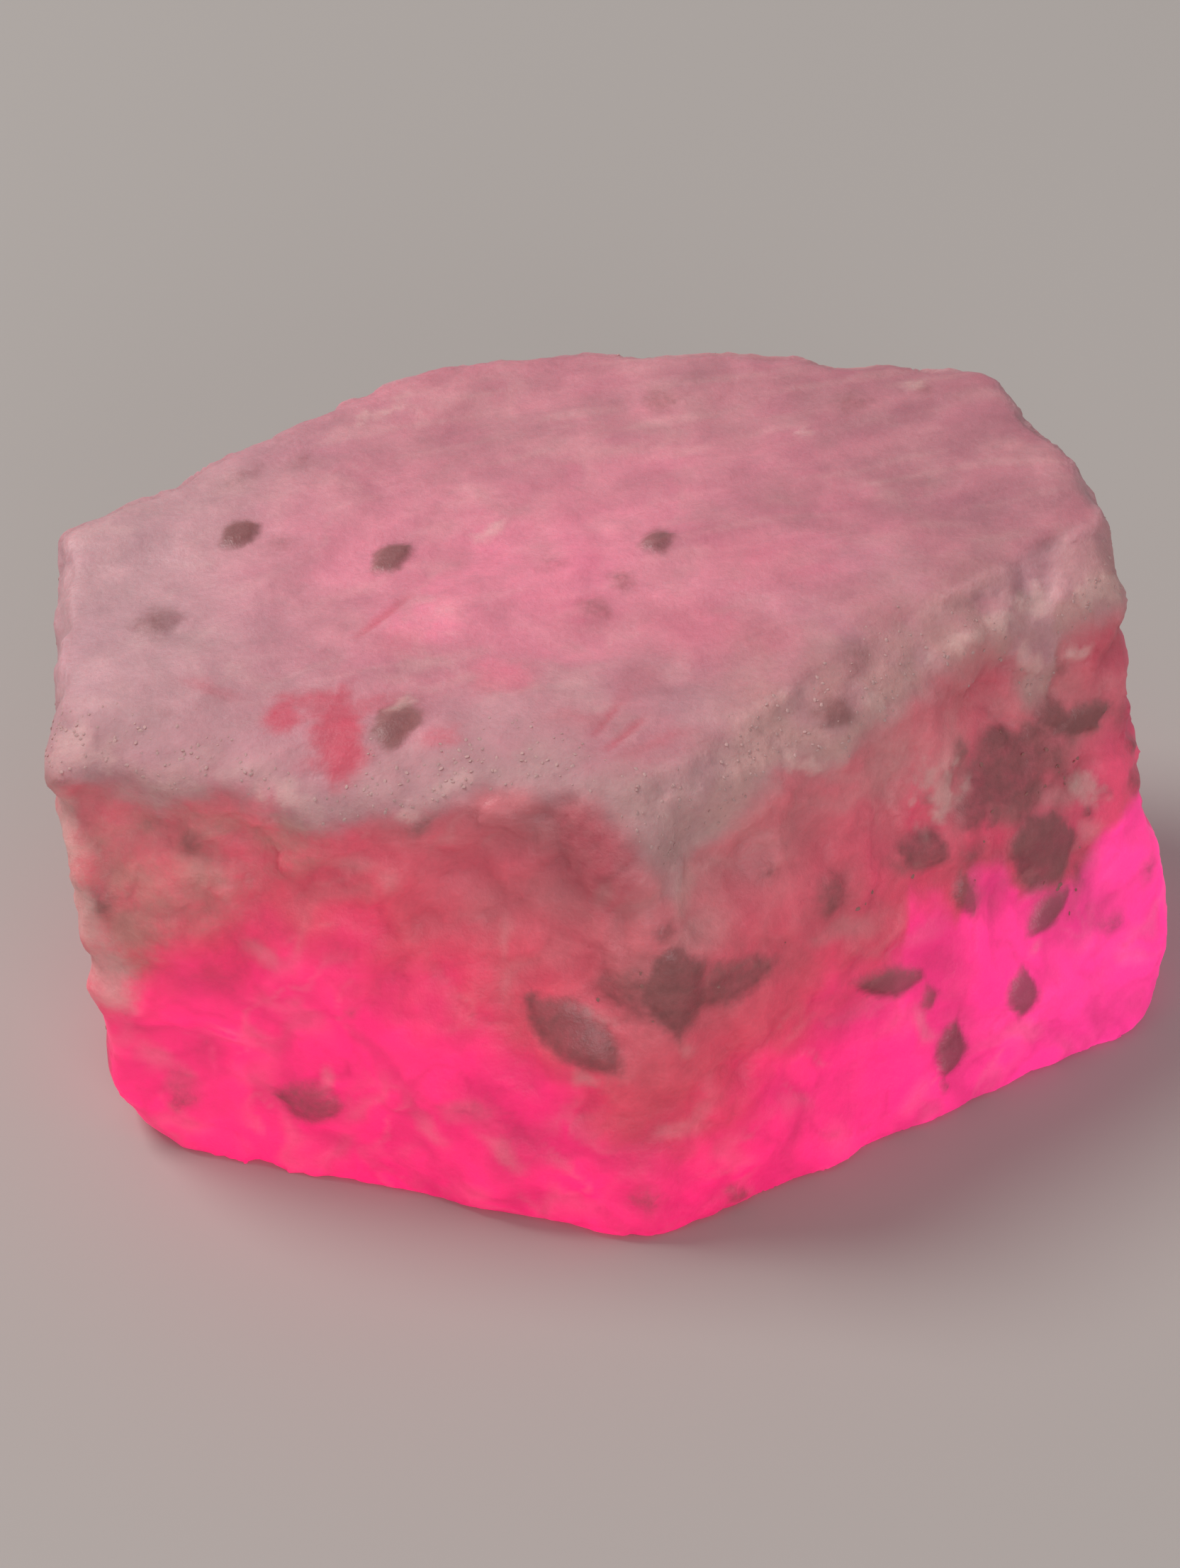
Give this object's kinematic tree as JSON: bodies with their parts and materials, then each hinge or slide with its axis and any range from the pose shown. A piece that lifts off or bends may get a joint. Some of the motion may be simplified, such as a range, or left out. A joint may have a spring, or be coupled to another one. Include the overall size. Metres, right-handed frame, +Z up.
{
  "type": "rough ruby",
  "caption": "Rough pink corundum block with a flat parted top, a scalloped pale rim, lumpy broken sides, dark mineral grains and a flat underside to lie on.",
  "frame": {"origin": "middle of the footprint, on the flat face that the stone lies on", "axes": "+Z up, +X to the right along the longest side, +Y away from the viewer, whose side is the edge between the two front faces"},
  "size_m": [0.038, 0.0274, 0.0187],
  "materials": {
    "ruby": "rough, translucent pink corundum"
  },
  "bodies": {
    "root": {"ruby": "ruby"}
  },
  "joints": []
}
